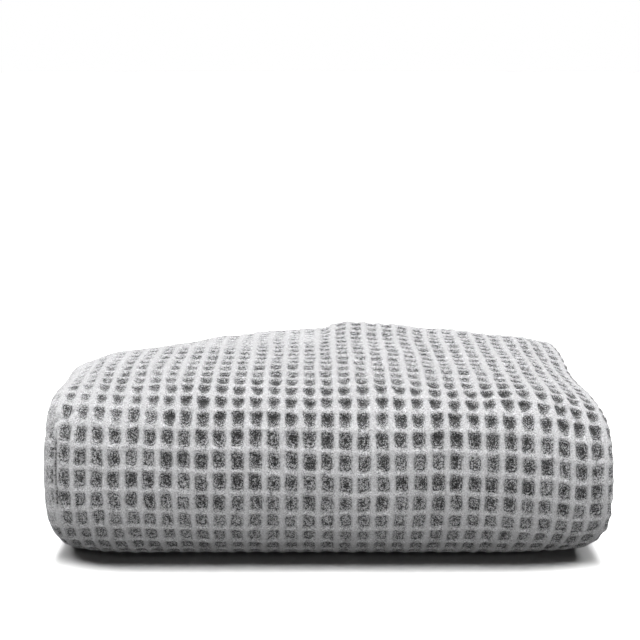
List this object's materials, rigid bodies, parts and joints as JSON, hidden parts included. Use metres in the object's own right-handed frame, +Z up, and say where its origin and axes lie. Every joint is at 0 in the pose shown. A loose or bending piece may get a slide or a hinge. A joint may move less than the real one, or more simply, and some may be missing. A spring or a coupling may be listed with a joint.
{
  "type": "waffle weave cotton blanket, folded",
  "caption": "Thick waffle weave cotton blanket folded into a soft rectangular stack, with a rounded front wrap, a low crown and soft drawn-in ends.",
  "frame": {"origin": "on the surface it rests on, under the middle of the folded stack", "axes": "+X across the width of the stack, -Y towards the rounded front fold, +Z up"},
  "size_m": [0.3794, 0.268, 0.125],
  "materials": {
    "waffle_cotton": "matt light grey cotton in a deep waffle weave, slightly fuzzy"
  },
  "bodies": {
    "root": {"blanket": "waffle_cotton"}
  },
  "joints": []
}
